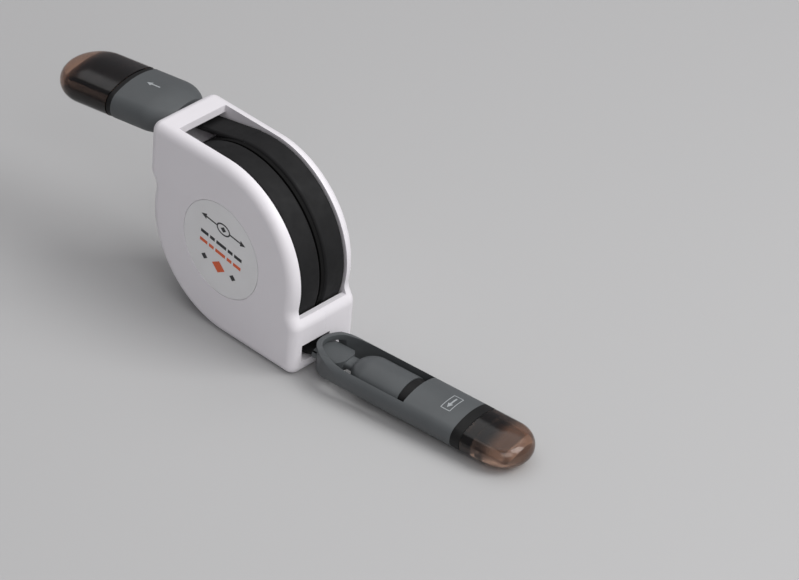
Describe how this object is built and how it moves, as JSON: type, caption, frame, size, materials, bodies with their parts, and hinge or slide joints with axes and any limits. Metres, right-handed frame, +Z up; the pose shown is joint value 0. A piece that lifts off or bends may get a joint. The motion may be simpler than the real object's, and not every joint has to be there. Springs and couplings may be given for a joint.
{
  "type": "retractable charging cable",
  "caption": "Retractable charging cable: white two-half reel case with flat black ribbons wound side by side, a capped full-size plug and a capped adapter sleeved on a small plug.",
  "frame": {"origin": "on the case's flat bottom edge, under the reel axis, halfway through the case", "axes": "+Z up, Y along the reel axis with the label facing -Y, +X towards the adapter end"},
  "size_m": [0.1288, 0.0194, 0.042],
  "materials": {
    "case_plastic": "gloss",
    "label_film": "satin print",
    "steel": "bare",
    "reel_plastic": "matt",
    "ribbon_sheath": "matt",
    "grip_plastic": "satin",
    "collar_plastic": "satin",
    "plated_shell": "plated",
    "insulator": "matt",
    "gold_contact": "plated",
    "smoky_plastic": "clear smoky"
  },
  "bodies": {
    "case": {"front_cover": "case_plastic", "rear_cover": "case_plastic", "front_label": "label_film", "axle_screw": "steel", "usb_lead": "ribbon_sheath", "adapter_lead": "ribbon_sheath"},
    "reel": {"reel": "reel_plastic", "power_spring": "steel", "usb_coil": "ribbon_sheath", "adapter_coil": "ribbon_sheath"},
    "ratchet_ball": {"ratchet_ball": "steel"},
    "usb_plug": {"usb_grip": "grip_plastic", "usb_collar": "collar_plastic", "usb_shell": "plated_shell", "usb_tongue": "insulator", "usb_contacts": "gold_contact"},
    "usb_cap": {"usb_cap": "smoky_plastic"},
    "small_plug": {"micro_boot": "grip_plastic", "micro_collar": "collar_plastic", "micro_shell": "plated_shell", "micro_insert": "insulator"},
    "adapter": {"adapter_sleeve": "grip_plastic", "socket_shell": "plated_shell", "socket_tongue": "insulator", "adapter_collar": "collar_plastic", "adapter_tip": "insulator", "tip_contacts": "gold_contact"},
    "adapter_cap": {"adapter_cap": "smoky_plastic"}
  },
  "joints": [
    {"name": "reel_spin", "type": "hinge", "parent": "case", "child": "reel", "pos_m": [0, 0, 0.021], "axis": [0, -1, 0], "range_deg": [0, 1080], "deforming": ["power_spring"]},
    {"name": "usb_pull", "type": "slide", "parent": "case", "child": "usb_plug", "axis": [-0.9925, -0.1219, 0], "range_m": [0, 0.3548], "deforming": ["usb_lead"]},
    {"name": "adapter_pull", "type": "slide", "parent": "case", "child": "small_plug", "axis": [0.9914, 0.1305, 0], "range_m": [0, 0.3548], "deforming": ["adapter_lead"]},
    {"name": "ratchet_shift", "type": "slide", "parent": "case", "child": "ratchet_ball", "axis": [0, 0, 1], "range_m": [0, 0.0032]},
    {"name": "usb_cap_pull", "type": "slide", "parent": "usb_plug", "child": "usb_cap", "axis": [-0.9909, -0.1217, -0.0576], "range_m": [0, 0.0145]},
    {"name": "adapter_unplug", "type": "slide", "parent": "small_plug", "child": "adapter", "axis": [0.9908, 0.1304, -0.0366], "range_m": [0, 0.006]},
    {"name": "adapter_cap_pull", "type": "slide", "parent": "adapter", "child": "adapter_cap", "axis": [0.9908, 0.1304, -0.0366], "range_m": [0, 0.0105]}
  ],
  "couplings": [
    {"joint": "usb_pull", "follows": "reel_spin", "m_per_rad": 0.01882},
    {"joint": "adapter_pull", "follows": "reel_spin", "m_per_rad": 0.01882}
  ]
}
